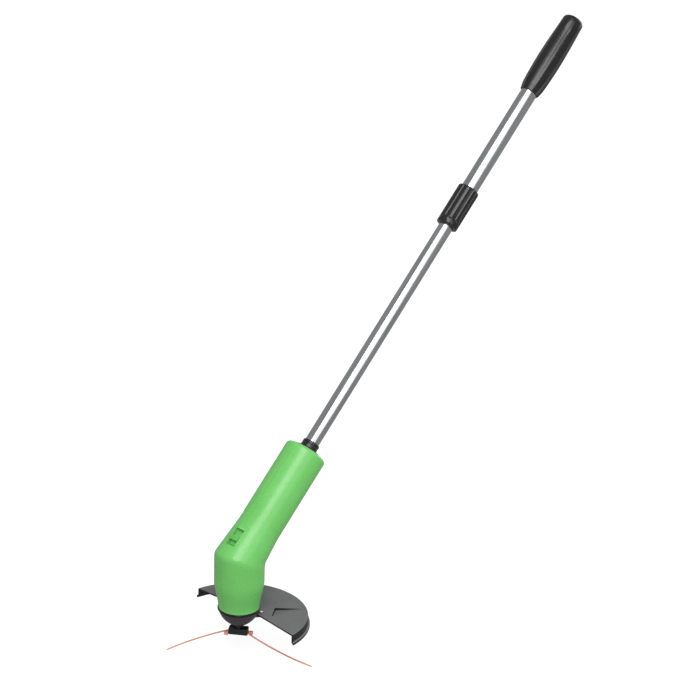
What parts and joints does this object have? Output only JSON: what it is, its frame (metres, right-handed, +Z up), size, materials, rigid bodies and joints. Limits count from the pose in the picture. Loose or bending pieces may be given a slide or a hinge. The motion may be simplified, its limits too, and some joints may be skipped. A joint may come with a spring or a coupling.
{
  "type": "string trimmer",
  "caption": "Light cordless trimmer: bent barrel with a nylon cable-tie cutter and rear guard on a telescoping pole with a twist lock and fluted grip.",
  "frame": {"origin": "middle of the cutter hub's flat bottom face, on the spindle axis", "axes": "+Z up the cutter spindle, +X back towards the operator under the pole, +Y to the operator's right"},
  "size_m": [0.6522, 0.1766, 0.7373],
  "materials": {
    "green_abs": "moulded, semi-gloss",
    "green_abs_dark": "moulded, semi-gloss",
    "black_gloss": "moulded, glossy",
    "black_satin": "moulded, satin",
    "grey_black": "moulded, fine texture",
    "tube_steel": "polished steel",
    "zinc": "zinc plated",
    "orange_nylon": "moulded nylon",
    "copper": "bare",
    "bronze": "sintered",
    "ferrite": "sintered",
    "carbon": "pressed",
    "laminations": "stacked sheet",
    "cell_wrap": "printed sleeve, plain",
    "nylon": "moulded nylon",
    "wire_red": "PVC",
    "wire_black": "PVC"
  },
  "bodies": {
    "handle": {"upper_tube": "tube_steel", "grip": "black_gloss", "lock_collet": "nylon"},
    "sleeve": {"lock_sleeve": "black_gloss"},
    "slider": {"guide_bush": "nylon"},
    "head": {"lower_tube": "tube_steel", "pole_socket": "black_gloss", "housing_left": "green_abs", "housing_right": "green_abs", "housing_screw_1": "zinc", "housing_screw_2": "zinc", "housing_screw_3": "zinc", "housing_screw_4": "zinc", "nose_cap": "black_satin", "rim_ring": "black_gloss", "guard": "grey_black", "guard_screw_1": "zinc", "guard_screw_2": "zinc", "motor_mount": "black_satin", "motor_can": "zinc", "motor_screw_1": "zinc", "motor_screw_2": "zinc", "end_bell": "nylon", "bush_lower": "bronze", "bush_upper": "bronze", "magnet_1": "ferrite", "magnet_2": "ferrite", "brush_1": "carbon", "brush_2": "carbon", "battery_tray": "black_satin", "cell_1": "cell_wrap", "cell_2": "cell_wrap", "cell_3": "cell_wrap", "cell_4": "cell_wrap", "bridge_plate": "zinc", "terminal_a": "zinc", "terminal_b": "zinc", "spring_a": "zinc", "spring_b": "zinc", "switch_body": "black_satin", "lead_switch": "wire_red", "lead_motor": "wire_red", "lead_return": "wire_black"},
    "switch": {"switch_slider": "green_abs_dark"},
    "cover": {"battery_cover": "green_abs"},
    "cutter": {"motor_shaft": "tube_steel", "armature": "laminations", "winding_1": "copper", "winding_2": "copper", "winding_3": "copper", "commutator": "copper", "hub": "black_gloss", "tie_a": "orange_nylon", "tie_b": "orange_nylon"}
  },
  "joints": [
    {"name": "lock_turn", "type": "hinge", "parent": "handle", "child": "sleeve", "pos_m": [0.37689, 0, 0.47939], "axis": [0.7071, 0, 0.7071], "range_deg": [0, 90]},
    {"name": "pole_slide", "type": "slide", "parent": "handle", "child": "slider", "axis": [0.7071, 0, 0.7071], "range_m": [0, 0.235]},
    {"name": "head_turn", "type": "hinge", "parent": "slider", "child": "head", "pos_m": [0.39032, 0, 0.49282], "axis": [0.7071, 0, 0.7071], "range_deg": [-90, 90]},
    {"name": "switch_slide", "type": "slide", "parent": "head", "child": "switch", "axis": [0.7071, 0, 0.7071], "range_m": [0, 0.005]},
    {"name": "cover_lift", "type": "slide", "parent": "head", "child": "cover", "axis": [0.7071, 0, -0.7071], "range_m": [0, 0.04]},
    {"name": "cutter_spin", "type": "hinge", "parent": "head", "child": "cutter", "pos_m": [0, 0, 0], "axis": [0, 0, 1], "continuous": true}
  ]
}
